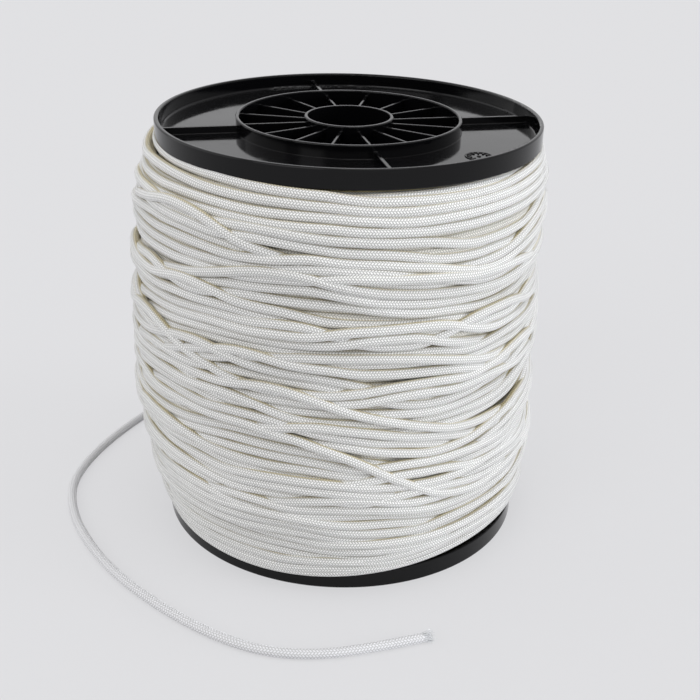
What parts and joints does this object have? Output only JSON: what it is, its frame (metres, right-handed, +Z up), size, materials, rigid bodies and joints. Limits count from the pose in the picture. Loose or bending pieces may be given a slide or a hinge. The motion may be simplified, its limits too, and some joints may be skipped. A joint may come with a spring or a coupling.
{
  "type": "string reel",
  "caption": "Moulded two-flange reel wound full of white braided cord, with a spindle bore through both ribbed hubs and one free cord tail.",
  "frame": {"origin": "floor under the reel's axis, at the lower flange's rim", "axes": "+Z up along the reel's axis to the upper flange; -Y is the side that the picture shows, where the cord's tail ends"},
  "size_m": [0.2681, 0.2788, 0.225],
  "materials": {
    "moulding": "glossy black moulding",
    "barrel": "matt black tube",
    "cord": "white braided cord"
  },
  "bodies": {
    "root": {"upper_flange": "moulding", "lower_flange": "moulding", "barrel": "barrel", "cord_core": "cord", "cord_winding": "cord", "cord_tail": "cord"}
  },
  "joints": []
}
